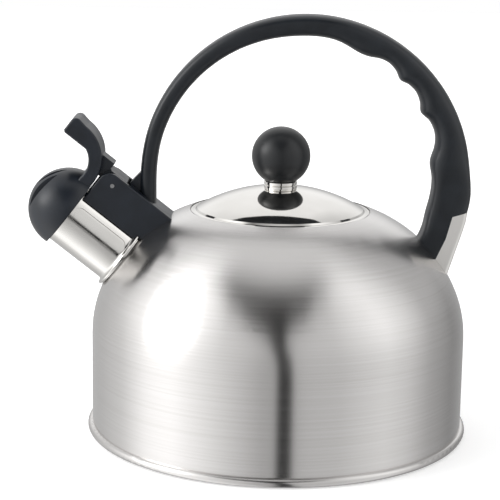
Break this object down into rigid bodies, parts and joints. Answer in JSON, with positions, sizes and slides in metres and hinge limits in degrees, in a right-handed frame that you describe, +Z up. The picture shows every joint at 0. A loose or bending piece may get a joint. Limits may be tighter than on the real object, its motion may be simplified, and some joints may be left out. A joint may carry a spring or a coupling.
{
  "type": "stovetop whistling kettle",
  "caption": "Stainless stovetop kettle with a domed lid, an arched grip handle and a spring-closed whistling spout cap opened by a thumb lever.",
  "frame": {"origin": "kettle axis at the hob surface, centre of the flat base", "axes": "+Z up; the spout points towards -X; the handle lies in the XZ plane"},
  "size_m": [0.2194, 0.19, 0.2072],
  "materials": {
    "brushed_body": "satin brushed stainless steel",
    "polished_steel": "polished stainless steel",
    "mirror_steel": "mirror polished stainless steel",
    "brushed_lug": "lengthwise brushed stainless steel",
    "screw_steel": "plain steel fastener",
    "spring_steel": "drawn spring wire",
    "whistle_metal": "pressed aluminium",
    "brass_insert": "turned brass",
    "black_moulding": "satin moulded plastic",
    "black_handle": "satin moulded plastic",
    "black_knob": "satin moulded plastic"
  },
  "bodies": {
    "kettle": {"body_wall": "brushed_body", "body_shoulder": "brushed_body", "mouth_ring": "brushed_body", "base_pan": "brushed_body", "spout_tube": "polished_steel", "spout_housing": "black_moulding", "front_lug": "brushed_lug", "front_handle_screw": "screw_steel", "pivot_pin": "screw_steel", "return_spring": "spring_steel", "handle": "black_handle", "rear_lug": "brushed_lug", "rear_handle_screw": "screw_steel"},
    "cap": {"cap_dome": "black_moulding", "cap_lever": "black_moulding", "whistle_plate_inner": "whistle_metal", "whistle_spacer": "whistle_metal", "whistle_plate_outer": "whistle_metal"},
    "lid": {"lid": "mirror_steel", "lid_skirt": "brushed_body", "knob_collar": "mirror_steel", "knob_ball": "black_knob", "knob_insert": "brass_insert", "knob_washer": "screw_steel", "knob_screw": "screw_steel"}
  },
  "joints": [
    {"name": "cap_hinge", "type": "hinge", "parent": "kettle", "child": "cap", "pos_m": [-0.08206, 0, 0.12334], "axis": [0, 1, 0], "range_deg": [0, 50], "stiffness_Nm_per_rad": 0.03, "springref_deg": -28.65, "deforming": ["return_spring"]},
    {"name": "lid_lift", "type": "slide", "parent": "kettle", "child": "lid", "axis": [0, 0, 1], "range_m": [0, 0.035]}
  ]
}
